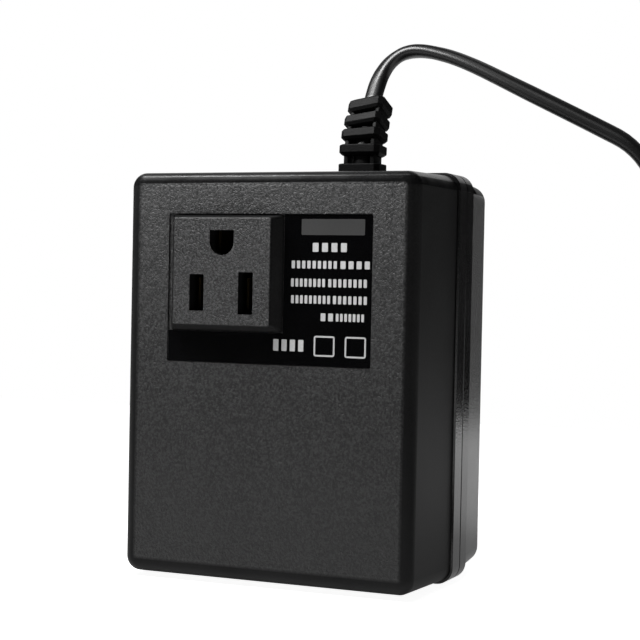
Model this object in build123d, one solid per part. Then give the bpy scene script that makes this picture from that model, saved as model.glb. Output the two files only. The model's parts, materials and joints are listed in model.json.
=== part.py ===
from build123d import *
import math
import os

# A travel voltage converter: two moulded case halves round a small transformer, a three-hole
# outlet in the front face, and a flat mains lead with a two-pin plug out of the top.
# Millimetres. X to the right, Y to the back, Z up. The origin is at the bottom, in the middle
# of the case's width and of the depth from the outlet's face to the back.

# Case, with the proud rim that runs round both halves at the parting
case_height = 110.0
case_width = 85.2
case_depth = 60.0
rim_proud = 0.6
parting_depth = 35.5
rim_front_reach = 6.3
rim_back_reach = 5.7
wall = 2.3
corner_radius = 4.0
front_edge_radius = 3.3
front_inset = 0.8
rear_inset = 1.5
rear_corner_radius = 4.6
rear_edge_radius = 3.4
inner_corner_radius = 2.0
seam_chamfer = 0.4
rim_edge_chamfer = 0.45
tongue_thickness = 1.0
tongue_length = 1.5
tongue_root = 1.0
fit_gap = 0.1
overrun = 1.0

# Screws that close the case, driven from the back into the front half's posts
case_screw_side = 7.95
case_screw_end = 9.5
case_post_radius = 3.4
case_screw_radius = 1.35
case_screw_grip = 11.0
case_screw_head_radius = 2.8
case_screw_head_height = 2.2
screw_well_radius = 3.2
screw_well_wall = 1.3
screw_ledge = 3.0
shank_slack = 0.05
recess_width = 0.9
recess_span = 3.2
recess_depth = 1.2

# Recess in the front face for the outlet and the rating label
pocket_lip = 1.05
pocket_side_share = 0.1549
pocket_height = 39.3
pocket_low = 58.4
pocket_depth = 0.5
pocket_radius = 0.6
label_thickness = 0.2
label_gap = 0.25

# Outlet block
outlet_side_share = 0.3638
outlet_z = 82.1
outlet_base_width = 32.3
outlet_base_height = 30.4
outlet_face_width = 28.1
outlet_face_height = 28.0
outlet_face_lift = 0.35
outlet_proud = 3.2
outlet_corner_radius = 0.7
outlet_block_depth = 14.5
outlet_cover_thickness = 2.0
hole_row_z = 76.85
blade_spacing = 14.2
earth_offset = 13.3
blade_slot_width = 4.2
left_slot_height = 9.6
right_slot_height = 11.0
slot_corner_radius = 0.3
earth_hole_radius = 3.5
earth_hole_rise = 3.1
chamber_width = 6.6
chamber_height = 12.4
earth_chamber_side = 9.4
ear_gap = 0.9
ear_radius = 2.5
ear_thickness = 2.0
outlet_post_height = 3.0
outlet_screw_radius = 1.2
outlet_screw_grip = 3.6
outlet_screw_head_radius = 2.2
outlet_screw_head_height = 1.6
ear_hole_radius = 1.5

# Spring contacts behind the outlet's holes
contact_leaf = 0.6
contact_length = 12.0
blade_contact_width = 5.0
blade_contact_height = 8.0
blade_contact_grip = 1.3
blade_contact_mouth = 3.2
earth_contact_width = 8.0
earth_contact_height = 6.0
earth_contact_grip = 4.4
earth_contact_mouth = 6.0
contact_bend_share = 0.25
contact_grip_share = 0.67
tail_width = 2.4
tail_length = 3.0
tail_gap = 0.2

# Transformer: E and I stacks, standing on edge behind the outlet
core_side_gap = 6.7
core_height = 55.0
core_stack = 26.0
core_y = 5.5
core_low = 15.0
core_hole_radius = 2.2
core_screw_radius = 1.9
core_screw_head_radius = 3.4
core_screw_head_height = 2.4
core_screw_grip = 8.0
core_boss_radius = 4.0
bobbin_gap = 0.2
bobbin_wall = 1.0
bobbin_flange = 1.2
bobbin_overhang = 8.5
inner_winding_build = 3.0
winding_gap = 0.1
paper_thickness = 0.4
outer_winding_build = 2.8
outer_tape_thickness = 0.4
winding_corner_radius = 1.5
tag_radius = 0.6
tag_height = 4.5
tag_reach = 3.0
tag_x = 8.0
cutout_width = 10.0
cutout_height = 5.5
cutout_depth = 3.6
cutout_edge_radius = 1.0

# Mains lead: a flat two-core cord, wide across, with the wires inside the case
cord_width = 5.2
cord_thickness = 3.8
wire_radius = 0.9
core_spacing = 2.3
held_cord_inside = 7.0

# Moulded strain relief, caught in the top wall at the parting
relief_x = 12.0
relief_groove_width = 8.4
relief_groove_depth = 6.4
relief_flange_width = 11.0
relief_flange_depth = 8.8
relief_flange_thickness = 2.4
relief_flange_gap = 0.4
relief_collar_width = 12.1
relief_collar_depth = 7.9
relief_collar_height = 3.0
relief_rise = 19.2
relief_bend_radius = 23.0
relief_bend_rise = 11.7
relief_twist_share = 0.28
relief_ring_first = 2.1
relief_ring_pitch = 4.1
relief_ring_thickness = 3.0
relief_ring_count = 3
relief_ring_width = 12.0
relief_ring_taper = 0.25
relief_ring_depth = 7.8
relief_ring_chamfer = 0.6
relief_cap_height = 4.4
relief_cap_chamfer = 1.1
relief_corner_radius = 1.4
relief_rail_reach = 4.6
relief_rail_width = 1.4
relief_rail_depth = 5.4

# Put-away coil of the lead's far end, and the tie round it
coil_radius = 30.5
loop_pitch = 5.7
coil_quarters = 5
tie_thickness = 0.6
tie_gap = 0.3
tie_width = 4.0

# Two-pin plug
plug_width = 35.3
plug_thickness = 13.7
plug_flat_width = 25.0
plug_length = 22.0
plug_edge_radius = 1.2
plug_neck_length = 14.0
plug_neck_width = 14.0
plug_neck_height = 10.0
plug_tail_width = 8.4
plug_tail_height = 6.8
plug_neck_radius = 2.4
pin_spacing = 18.6
pin_radius = 2.0
pin_length = 19.0
pin_stem_radius = 1.3
pin_seat = 5.0
sleeve_length = 10.0
sleeve_radius = 1.75
pin_tip_chamfer = 0.8

front_y = outlet_proud - (case_depth + outlet_proud) / 2
rear_y = front_y + case_depth
parting_y = front_y + parting_depth
pocket_y = front_y + pocket_depth
inner_front_y = front_y + wall
inner_rear_y = rear_y - wall
outlet_back_y = front_y + outlet_block_depth
outlet_x = outlet_side_share * case_width - case_width / 2
pocket_left = outlet_x - outlet_base_width / 2 - pocket_lip
pocket_right = case_width / 2 - pocket_side_share * case_width
ear_reach = outlet_base_width / 2 + ear_gap + ear_radius
core_width = case_width - 2 * (rim_proud + wall + core_side_gap)
core_limb = core_width / 6
core_front_y = core_y - core_stack / 2
core_back_y = core_y + core_stack / 2
ceiling_z = case_height - rim_proud - wall
collar_top_z = case_height + relief_collar_height
relief_turn = relief_bend_rise / relief_bend_radius
bottom_loop_z = tie_thickness + tie_gap + cord_width / 2
case_screw_places = [
    (side * (case_width / 2 - case_screw_side), z)
    for side in (-1, 1)
    for z in (case_screw_end, case_height - case_screw_end)
]
core_screw_places = [
    (x * (core_width - core_limb) / 2, z)
    for x in (-1, 1)
    for z in (core_low + core_limb / 2, core_low + core_height - core_limb / 2)
]


def front_plane(y):
    # Upright plane at depth y, its own axes along X and Z
    return Plane.XZ.offset(-y)


def slab(sketch, y_from, y_to):
    # A sketch drawn in X and Z, made solid from one depth to another
    return extrude(front_plane(y_from) * sketch, amount=y_to - y_from, dir=(0, 1, 0))


def rod(place, radius, y_from, y_to):
    return slab(Pos(*place) * Circle(radius), y_from, y_to)


def case_outline(inset, radius):
    # Rounded upright rectangle, inset from the case without its rim
    width = case_width - 2 * rim_proud - 2 * inset
    height = case_height - 2 * rim_proud - 2 * inset
    return Pos(0, case_height / 2) * RectangleRounded(width, height, radius)


def taper(near, near_inset, far, far_inset, radius):
    # Body between two depths whose outline draws in from one to the other
    return loft([
        front_plane(near) * case_outline(near_inset, radius),
        front_plane(far) * case_outline(far_inset, radius),
    ])


def rim(y_from, y_to, seam_end):
    # Proud band, its edge broken where the halves meet and less at its other end
    band = slab(case_outline(-rim_proud, corner_radius + rim_proud), y_from, y_to)
    band = chamfer(band.edges().group_by(Axis.Y)[seam_end], seam_chamfer)
    return chamfer(band.edges().group_by(Axis.Y)[-1 - seam_end], rim_edge_chamfer)


def cord_notch():
    # Opening through the top walls of both halves for the relief's groove
    low = ceiling_z - overrun
    high = case_height + overrun
    size = (relief_groove_width + 2 * fit_gap, relief_groove_depth + 2 * fit_gap, high - low)
    return Pos(relief_x, parting_y, (low + high) / 2) * Box(*size)


def outlet_outline(grow):
    return Pos(outlet_x, outlet_z) * RectangleRounded(
        outlet_base_width + 2 * grow, outlet_base_height + 2 * grow, outlet_corner_radius
    )


def ear_places():
    return [(outlet_x + side * ear_reach, outlet_z) for side in (-1, 1)]


def screw(place, shank, grip, head, head_height, seat_y, towards):
    # Pan-head screw with a cross recess; towards is the way its point goes along Y
    tip_y = seat_y + towards * grip
    top_y = seat_y - towards * head_height
    body = rod(place, shank, min(seat_y, tip_y), max(seat_y, tip_y))
    cap = rod(place, head, min(seat_y, top_y), max(seat_y, top_y))
    floor_y = top_y + towards * recess_depth
    past_y = top_y - towards * overrun
    cross = Pos(*place) * (Rectangle(recess_width, recess_span) + Rectangle(recess_span, recess_width))
    return body + cap - slab(cross, min(floor_y, past_y), max(floor_y, past_y))


def front_shell():
    body = taper(front_y, front_inset, parting_y, 0, corner_radius)
    body = fillet(body.edges().group_by(Axis.Y)[0], front_edge_radius)
    body += rim(parting_y - rim_front_reach, parting_y, -1)
    body -= taper(inner_front_y, front_inset + wall, parting_y, wall, inner_corner_radius)
    rebate = case_outline(wall - tongue_thickness - fit_gap, inner_corner_radius)
    body -= slab(rebate, parting_y - tongue_length - fit_gap, parting_y)
    for place in case_screw_places:
        body += rod(place, case_post_radius, inner_front_y, parting_y)
    for place in ear_places():
        body += rod(place, ear_radius, inner_front_y, inner_front_y + outlet_post_height)
    for place in case_screw_places:
        pilot = parting_y + screw_ledge - case_screw_grip - shank_slack
        body -= rod(place, case_screw_radius + shank_slack, pilot, parting_y)
    for place in ear_places():
        top = inner_front_y + outlet_post_height
        pilot = top + ear_thickness - outlet_screw_grip - overrun
        body -= rod(place, outlet_screw_radius + shank_slack, pilot, top)
    pocket = Pos((pocket_left + pocket_right) / 2, pocket_low + pocket_height / 2) * RectangleRounded(
        pocket_right - pocket_left, pocket_height, pocket_radius
    )
    body -= slab(pocket, front_y - overrun, pocket_y)
    body -= slab(outlet_outline(fit_gap), front_y, inner_front_y + overrun)
    return body - cord_notch()


def rear_shell():
    body = taper(parting_y, 0, rear_y, rear_inset, rear_corner_radius)
    body = fillet(body.edges().group_by(Axis.Y)[-1], rear_edge_radius)
    body += rim(parting_y, parting_y + rim_back_reach, 0)
    body -= taper(parting_y, wall, inner_rear_y, rear_inset + wall, inner_corner_radius)
    tongue = case_outline(wall - tongue_thickness, inner_corner_radius)
    tongue -= case_outline(wall, inner_corner_radius)
    body += slab(tongue, parting_y - tongue_length, parting_y + tongue_root)
    for place in case_screw_places:
        body += rod(place, screw_well_radius + screw_well_wall, parting_y, inner_rear_y)
    for place in core_screw_places:
        body += rod(place, core_boss_radius, core_back_y, inner_rear_y)
    for place in case_screw_places:
        body -= rod(place, screw_well_radius, parting_y + screw_ledge, rear_y + overrun)
        body -= rod(place, case_screw_radius + shank_slack, parting_y, parting_y + screw_ledge)
    for place in core_screw_places:
        body -= rod(place, core_screw_radius + shank_slack, core_back_y, inner_rear_y)
    return body - cord_notch()


def case_screws():
    seat = parting_y + screw_ledge
    return [
        screw(place, case_screw_radius, case_screw_grip, case_screw_head_radius,
              case_screw_head_height, seat, -1)
        for place in case_screw_places
    ]


def earth_outline():
    # Half-round below, square above
    flat = Pos(0, earth_hole_rise / 2) * Rectangle(2 * earth_hole_radius, earth_hole_rise)
    lower = Circle(earth_hole_radius) & (
        Pos(0, -earth_hole_radius / 2) * Rectangle(2 * earth_hole_radius, earth_hole_radius)
    )
    return Pos(outlet_x, hole_row_z + earth_offset) * (flat + lower)


def blade_places():
    return [(outlet_x + side * blade_spacing / 2, hole_row_z) for side in (-1, 1)]


def outlet_face():
    # Raised plate whose sides slope back to the recess, with the three holes
    face_y = front_y - outlet_proud
    face = Pos(outlet_x, outlet_z + outlet_face_lift) * RectangleRounded(
        outlet_face_width, outlet_face_height, outlet_corner_radius
    )
    plate = loft([front_plane(face_y) * face, front_plane(pocket_y) * outlet_outline(0)])
    for place, height in zip(blade_places(), (left_slot_height, right_slot_height)):
        slot = RectangleRounded(blade_slot_width, height, slot_corner_radius)
        plate -= slab(Pos(*place) * slot, face_y - overrun, pocket_y)
    return plate - slab(earth_outline(), face_y - overrun, pocket_y)


def outlet_body():
    # Block behind the plate with a chamber for each contact, and an ear at each side
    body = slab(outlet_outline(0), pocket_y, outlet_back_y)
    ears = Pos(outlet_x, outlet_z) * SlotCenterToCenter(2 * ear_reach, 2 * ear_radius)
    ear_y = inner_front_y + outlet_post_height
    body += slab(ears, ear_y, ear_y + ear_thickness)
    for place in blade_places():
        body -= slab(Pos(*place) * Rectangle(chamber_width, chamber_height), pocket_y, outlet_back_y)
    earth = Pos(outlet_x, hole_row_z + earth_offset) * Rectangle(earth_chamber_side, earth_chamber_side)
    body -= slab(earth, pocket_y, outlet_back_y)
    for place in ear_places():
        body -= rod(place, ear_hole_radius, ear_y, ear_y + ear_thickness)
    return body


def outlet_cover():
    body = slab(outlet_outline(0), outlet_back_y, outlet_back_y + outlet_cover_thickness)
    hole = Rectangle(contact_leaf + 2 * tail_gap, tail_width + 2 * tail_gap)
    for x, z in blade_places() + [(outlet_x, hole_row_z + earth_offset)]:
        body -= slab(Pos(x, z) * hole, outlet_back_y, outlet_back_y + outlet_cover_thickness)
    return body


def outlet_screws():
    seat = inner_front_y + outlet_post_height + ear_thickness
    return [
        screw(place, outlet_screw_radius, outlet_screw_grip, outlet_screw_head_radius,
              outlet_screw_head_height, seat, -1)
        for place in ear_places()
    ]


def contact(place, width, height, grip, mouth):
    # Bent strip, seen from above: two leaves that close on the pin and open again at the mouth
    x, z = place
    bend = contact_bend_share * contact_length
    pinch = contact_grip_share * contact_length
    right = [
        (width / 2, 0), (width / 2, -bend), (grip / 2 + contact_leaf, -pinch),
        (mouth / 2 + contact_leaf, -contact_length), (mouth / 2, -contact_length),
        (grip / 2, -pinch), (width / 2 - contact_leaf, -bend), (width / 2 - contact_leaf, -contact_leaf),
    ]
    left = [(-u, v) for u, v in reversed(right)]
    strip = make_face(Polyline(*right, *left, close=True))
    clip = extrude(Pos(x, outlet_back_y, z - height / 2) * strip, amount=height, dir=(0, 0, 1))
    tail = Pos(x, z) * Rectangle(contact_leaf, tail_width)
    return clip + slab(tail, outlet_back_y, outlet_back_y + outlet_cover_thickness + tail_length)


def rating_label():
    low = pocket_low + label_gap
    high = pocket_low + pocket_height - label_gap
    left = pocket_left + label_gap
    right = pocket_right - label_gap
    step_x = outlet_x + outlet_base_width / 2 + label_gap
    step_z = outlet_z - outlet_base_height / 2 - label_gap
    corners = [(left, low), (right, low), (right, high), (step_x, high), (step_x, step_z), (left, step_z)]
    sheet = make_face(Polyline(*corners, close=True))
    return slab(sheet, pocket_y - label_thickness, pocket_y)


def core_holes(stack):
    for place in core_screw_places:
        stack -= rod(place, core_hole_radius, core_front_y, core_back_y)
    return stack


def core_rectangle(width, height, x, low):
    return Pos(x, low + height / 2) * Rectangle(width, height)


def core_e_stack():
    # Back along the top, three limbs down
    shape = core_rectangle(core_width, core_height - core_limb, 0, core_low + core_limb)
    window = core_height - 2 * core_limb
    for side in (-1, 1):
        shape -= core_rectangle(core_limb, window, side * 3 * core_limb / 2, core_low + core_limb)
    return core_holes(slab(shape, core_front_y, core_back_y))


def core_i_stack():
    shape = core_rectangle(core_width, core_limb, 0, core_low)
    return core_holes(slab(shape, core_front_y, core_back_y))


window_low = core_low + core_limb
window_high = core_low + core_height - core_limb
bobbin_low = window_low
bobbin_high = window_high - bobbin_gap
bobbin_half_x = core_limb + bobbin_gap + bobbin_wall
bobbin_half_y = core_stack / 2 + bobbin_gap + bobbin_wall


def block_round_limb(half_x, half_y, low, high, radius):
    # Upright block centred on the middle limb
    place = Pos(0, core_y, low)
    return extrude(place * RectangleRounded(2 * half_x, 2 * half_y, radius), amount=high - low)


def bobbin():
    flange_x = 2 * core_limb - bobbin_gap
    flange_y = core_stack / 2 + bobbin_overhang
    body = block_round_limb(bobbin_half_x, bobbin_half_y, bobbin_low, bobbin_high, winding_corner_radius)
    for low in (bobbin_low, bobbin_high - bobbin_flange):
        body += block_round_limb(flange_x, flange_y, low, low + bobbin_flange, winding_corner_radius)
    bore = (bobbin_half_x - bobbin_wall) * 2, (bobbin_half_y - bobbin_wall) * 2
    height = bobbin_high - bobbin_low
    return body - Pos(0, core_y, bobbin_low + height / 2) * Box(*bore, height)


def winding(inner, build):
    # Sleeve round the bobbin, from inner outwards by build, between the flanges
    low = bobbin_low + bobbin_flange
    high = bobbin_high - bobbin_flange - winding_gap
    reach = inner + build
    outer = block_round_limb(
        bobbin_half_x + reach, bobbin_half_y + reach, low, high, winding_corner_radius + reach
    )
    return outer - block_round_limb(
        bobbin_half_x + inner, bobbin_half_y + inner, low, high, winding_corner_radius + inner
    )


paper_inner = 2 * winding_gap + inner_winding_build
outer_winding_inner = paper_inner + paper_thickness + winding_gap
tape_inner = outer_winding_inner + outer_winding_build + winding_gap
tape_outer = tape_inner + outer_tape_thickness
tag_y_offset = core_stack / 2 + tag_reach
tag_top = bobbin_high + tag_height
line_tag = (-tag_x, core_y + tag_y_offset)
neutral_tag = (tag_x, core_y + tag_y_offset)
tapped_tag = (tag_x, core_y - tag_y_offset)
common_tag = (-tag_x, core_y - tag_y_offset)


def terminal_tags():
    return [
        extrude(Pos(x, y, bobbin_high) * Circle(tag_radius), amount=tag_height)
        for x, y in (line_tag, neutral_tag, tapped_tag, common_tag)
    ]


def thermal_cutout():
    # Little can laid against the taped winding at the front
    back = core_y - bobbin_half_y - tape_outer
    middle = (window_low + window_high) / 2
    can = Pos(0, middle) * RectangleRounded(cutout_width, cutout_height, cutout_edge_radius)
    return slab(can, back - cutout_depth, back)


def core_screws():
    grip = core_back_y - core_front_y + core_screw_grip
    return [
        screw(place, core_screw_radius, grip, core_screw_head_radius,
              core_screw_head_height, core_front_y, 1)
        for place in core_screw_places
    ]


def route_radii(points, named=None):
    # Bend radius at each inner point: a share of the shorter run over the tangent of half the turn
    points = [Vector(*p) for p in points]
    radii = []
    for before, here, after in zip(points, points[1:], points[2:]):
        turn = math.radians((here - before).get_angle(after - here))
        run = min((here - before).length, (after - here).length)
        radii.append(bend_share * run / math.tan(turn / 2))
    if named:
        print(named, "bend radii", [round(r, 1) for r in radii])
    return radii


def tube(points, radius, named=None):
    # Round tube along straight runs joined by tangent arcs
    path = FilletPolyline(*points, radius=route_radii(points, named))
    start = Plane(origin=path @ 0, z_dir=path % 0)
    made = sweep(start * Circle(radius), path=path)
    if named:
        print(named, "length", round(path.length, 1), "volume over section times length",
              round(made.volume / (math.pi * radius**2 * path.length), 4))
    return made


def turn_at(rise):
    return min(rise, relief_bend_rise) / relief_bend_radius


def on_bend(rise):
    # Place on the lead's backward bend through the relief, straight again near its top
    turn = turn_at(rise)
    beyond = max(rise - relief_bend_rise, 0)
    y = parting_y + relief_bend_radius * (1 - math.cos(turn)) + beyond * math.sin(turn)
    z = collar_top_z + relief_bend_radius * math.sin(turn) + beyond * math.cos(turn)
    return Pos(relief_x, y, z) * Rot(-math.degrees(turn), 0, 0)


def held_cord(grow=0):
    # Straight up to the collar, along the bend and straight on to the relief's top
    foot = Vector(relief_x, parting_y, ceiling_z - held_cord_inside)
    collar = Vector(relief_x, parting_y, collar_top_z)
    bend_end = on_bend(relief_bend_rise).position
    top = on_bend(relief_rise).position
    bend = Edge.make_tangent_arc(collar, (0, 0, 1), bend_end)
    path = Wire([Edge.make_line(foot, collar), bend, Edge.make_line(bend_end, top)])
    return sweep(Pos(foot) * SlotOverall(cord_width + 2 * grow, cord_thickness + 2 * grow), path=path)


def strain_relief():
    def layer(rise, width, thickness, end, bevel):
        # Block square to the bend and twisted a little with it, one end's edges bevelled
        block = extrude(RectangleRounded(width, relief_ring_depth, relief_corner_radius), amount=thickness)
        twist = Rot(0, 0, -math.degrees(relief_twist_share * turn_at(rise)))
        return on_bend(rise) * twist * chamfer(block.edges().group_by(Axis.Z)[end], bevel)

    low = ceiling_z - relief_flange_thickness - relief_flange_gap
    foot = Pos(relief_x, parting_y, low)
    body = extrude(foot * Rectangle(relief_flange_width, relief_flange_depth), amount=relief_flange_thickness)
    body += extrude(foot * Rectangle(relief_groove_width, relief_groove_depth), amount=case_height - low)
    collar = RectangleRounded(relief_collar_width, relief_collar_depth, relief_corner_radius)
    body += extrude(Pos(relief_x, parting_y, case_height) * collar, amount=relief_collar_height)
    for ring in range(relief_ring_count):
        rise = relief_ring_first + ring * relief_ring_pitch
        width = relief_ring_width - ring * relief_ring_taper
        body += layer(rise, width, relief_ring_thickness, 0, relief_ring_chamfer)
    width = relief_ring_width - relief_ring_count * relief_ring_taper
    body += layer(relief_rise - relief_cap_height, width, relief_cap_height, -1, relief_cap_chamfer)
    # Two rails along the sides carry the rings; their joints hide inside the rings
    rail_x = relief_rail_reach - relief_rail_width / 2
    rails = [Pos(side * rail_x, 0) * Rectangle(relief_rail_width, relief_rail_depth) for side in (-1, 1)]
    for step in range(relief_ring_count + 1):
        for rail in rails:
            body += on_bend(step * relief_ring_pitch) * extrude(rail, amount=relief_ring_pitch)
    return body - held_cord(fit_gap)


def wires():
    # Two from the mains lead to the transformer's back tags, two from its front tags to the outlet
    lead_end = ceiling_z - held_cord_inside
    drop = (lead_end - tag_top) / 2
    made = {}
    for name, side, (x, y) in (("line_wire", -1, line_tag), ("neutral_wire", 1, neutral_tag)):
        top = (relief_x + side * core_spacing / 2, parting_y, lead_end)
        knee = (top[0] + side * core_spacing / 2, top[1] + core_spacing, lead_end - drop / 2)
        straight = (top[0], top[1], lead_end - drop / 4)
        made[name] = tube([top, straight, knee, (x, y, tag_top + drop), (x, y, tag_top)], wire_radius)
    between_y = (outlet_back_y + outlet_cover_thickness + core_front_y) / 2
    rise = 3 * wire_radius
    for name, (x, y), (end_x, end_z) in (
        ("output_neutral_wire", common_tag, blade_places()[0]),
        ("output_line_wire", tapped_tag, blade_places()[1]),
    ):
        under_tail = end_z - tail_width / 2
        made[name] = tube([
            (x, y, tag_top), (x, y, tag_top + rise), (end_x, between_y, under_tail - rise),
            (end_x, between_y, under_tail),
        ], wire_radius)
    return made


# Route of the lead from the relief's top to the coil: out, over in the arc of the photograph,
# down beside the case and along the floor
lead_route = [
    (12.9, 18.1, 139.3),
    (15.3, 19.4, 143.1),
    (19.6, 19.8, 145.5),
    (26.2, 19.2, 145.4),
    (37.0, 17.7, 142.2),
    (54.0, 15.9, 133.7),
    (73.0, 14.8, 124.2),
    (88.5, 14.3, 116.2),
    (95.6, 14.1, 97.0),
    (97.6, 14.0, 69.0),
    (98.5, 14.0, 41.0),
    (99.3, 14.0, 19.0),
    (104.6, 14.0, 8.9),
    (114.6, 14.0, 3.5),
    (125.0, 14.0, 3.5),
]
bend_share = 0.45
first_run = 4.6
tail_run = 6.5
tail_step = 9.0


def coil_edges(start):
    # Spiral in on the floor, climb over half a turn and spiral out again on top, clockwise
    edges = [Edge.make_line(start, start + Vector(cord_width, 0, 0))]
    place = start + Vector(cord_width, 0, 0)
    heading = Vector(1, 0, 0)

    def quarter(place, heading, radius):
        right = Vector(heading.Y, -heading.X, 0)
        end = place + right * radius + heading * radius
        edges.append(Edge.make_tangent_arc(place, heading, end))
        return end, right

    radii = [coil_radius - step * loop_pitch / 4 for step in range(coil_quarters)]
    for radius in radii:
        place, heading = quarter(place, heading, radius)
    radius = coil_radius - coil_quarters * loop_pitch / 4
    right = Vector(heading.Y, -heading.X, 0)
    rise = Vector(0, 0, loop_pitch)
    slant = math.hypot(radius, loop_pitch / 2)
    middle = place + right * radius + heading * slant + rise / 2
    end = place + right * 2 * radius + rise
    edges.append(Edge.make_tangent_arc(place, heading, middle))
    edges.append(Edge.make_tangent_arc(middle, right * radius + rise / 2, end))
    place = end
    heading = heading * -1
    for radius in reversed(radii):
        place, heading = quarter(place, heading, radius)
    edges.append(Edge.make_line(place, place + heading * cord_width))
    return edges


def least_gap(edges, diameter):
    # Least air between two stretches of a tube, on points along its line
    count = 24
    marks = []
    travelled = 0
    for edge in edges:
        marks += [(travelled + edge.length * i / count, edge @ (i / count)) for i in range(count)]
        travelled += edge.length
    apart = 3 * diameter
    return min(
        (p - q).length for s, p in marks for t, q in marks if t - s > apart
    ) - diameter


def mains_lead():
    top = on_bend(relief_rise).position
    way = Vector(0, math.sin(relief_turn), math.cos(relief_turn))
    points = [top, top + way * first_run] + [Vector(*p) for p in lead_route]
    lead = tube(points, cord_width / 2, "mains_cord")
    edges = coil_edges(points[-1])
    path = Wire(edges)
    section = Plane(origin=points[-1], z_dir=(1, 0, 0)) * Circle(cord_width / 2)
    coil = sweep(section, path=path)
    print("cord_coil length", round(path.length, 1), "least gap", round(least_gap(edges, cord_width), 2),
          "volume over section times length",
          round(coil.volume / (math.pi * (cord_width / 2) ** 2 * path.length), 4))
    end = edges[-1] @ 1
    low = end.Z - plug_thickness / 2
    tail_points = [
        end, end + Vector(tail_run, 0, 0), end + Vector(tail_run + tail_step, 0, -low),
        end + Vector(2 * tail_run + tail_step, 0, -low),
    ]
    tail = tube(tail_points, cord_width / 2, "cord_tail")
    return {"mains_cord": lead, "cord_coil": coil, "cord_tail": tail}, points[-1], tail_points[-1]


def coil_tie(start):
    # Flat band round the loops at the coil's front
    middle_x = start.X + cord_width
    far_y = start.Y - 2 * coil_radius + loop_pitch / 4 - cord_width / 2 - tie_gap
    near_y = far_y + loop_pitch + cord_width + 2 * tie_gap
    low = bottom_loop_z - cord_width / 2 - tie_gap
    high = bottom_loop_z + loop_pitch + cord_width / 2 + tie_gap
    place = Pos(middle_x, (far_y + near_y) / 2, (low + high) / 2)
    inner = Box(tie_width, near_y - far_y, high - low)
    outer = Box(tie_width, near_y - far_y + 2 * tie_thickness, high - low + 2 * tie_thickness)
    return place * (outer - inner)


def side_plane(x):
    return Plane.YZ.offset(x)


def plug_pieces(entry):
    # Flat plug lying on the floor, its neck towards the coil, its pins along X
    half = plug_thickness / 2
    centre = Pos(entry.Y, half)
    back = entry.X + plug_neck_length
    face = back + plug_length
    outline = [
        (plug_width / 2, 0), (plug_flat_width / 2, half), (-plug_flat_width / 2, half),
        (-plug_width / 2, 0), (-plug_flat_width / 2, -half), (plug_flat_width / 2, -half),
    ]
    block = extrude(side_plane(back) * (centre * make_face(Polyline(*outline, close=True))),
                    amount=plug_length)
    block = fillet(block.edges().filter_by(Axis.X), plug_edge_radius)
    block = fillet(block.faces().sort_by(Axis.X)[0].edges(), plug_edge_radius)
    tail = centre * RectangleRounded(plug_tail_width, plug_tail_height, plug_neck_radius)
    shoulder = centre * RectangleRounded(plug_neck_width, plug_neck_height, plug_neck_radius)
    neck = loft([side_plane(entry.X) * tail, side_plane(back) * shoulder])
    body = block + neck
    pins, sleeves = [], []
    for side in (-1, 1):
        place = Pos(entry.Y + side * pin_spacing / 2, half)
        seat = side_plane(face - pin_seat)
        body -= extrude(seat * (place * Circle(pin_stem_radius + shank_slack)), amount=pin_seat)
        stem = extrude(seat * (place * Circle(pin_stem_radius)), amount=pin_seat + sleeve_length)
        tip = extrude(side_plane(face + sleeve_length) * (place * Circle(pin_radius)),
                      amount=pin_length - sleeve_length)
        tip = chamfer(tip.faces().sort_by(Axis.X)[-1].edges(), pin_tip_chamfer)
        pins.append(stem + tip)
        ring = Circle(sleeve_radius) - Circle(pin_stem_radius + shank_slack)
        sleeves.append(extrude(side_plane(face) * (place * ring), amount=sleeve_length))
    return {"plug_body": body, "plug_pins": pins, "pin_sleeves": sleeves}


earth_place = (outlet_x, hole_row_z + earth_offset)
cords, coil_start, plug_entry = mains_lead()
nodes = {
    "front_shell": front_shell(),
    "rear_shell": rear_shell(),
    "case_screws": case_screws(),
    "rating_label": rating_label(),
    "outlet_face": outlet_face(),
    "outlet_body": outlet_body(),
    "outlet_cover": outlet_cover(),
    "outlet_screws": outlet_screws(),
    "neutral_contact": contact(blade_places()[0], blade_contact_width, blade_contact_height,
                               blade_contact_grip, blade_contact_mouth),
    "line_contact": contact(blade_places()[1], blade_contact_width, blade_contact_height,
                            blade_contact_grip, blade_contact_mouth),
    "earth_contact": contact(earth_place, earth_contact_width, earth_contact_height,
                             earth_contact_grip, earth_contact_mouth),
    "core_e_stack": core_e_stack(),
    "core_i_stack": core_i_stack(),
    "bobbin": bobbin(),
    "inner_winding": winding(winding_gap, inner_winding_build),
    "interlayer_paper": winding(paper_inner, paper_thickness),
    "outer_winding": winding(outer_winding_inner, outer_winding_build),
    "outer_tape": winding(tape_inner, outer_tape_thickness),
    "terminal_tags": terminal_tags(),
    "thermal_cutout": thermal_cutout(),
    "core_screws": core_screws(),
    "strain_relief": strain_relief(),
    "held_cord": held_cord(),
    "coil_tie": coil_tie(coil_start),
    **wires(),
    **cords,
    **plug_pieces(plug_entry),
}

os.makedirs("parts", exist_ok=True)
for name, made in nodes.items():
    solids = made if isinstance(made, list) else [made]
    whole = Compound(children=[solid for piece in solids for solid in piece.solids()])
    export_step(whole, f"parts/{name}.step")
print(len(nodes), "nodes")
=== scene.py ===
import bmesh
import bpy
import json
import numpy as np
from mathutils import Matrix


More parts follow.
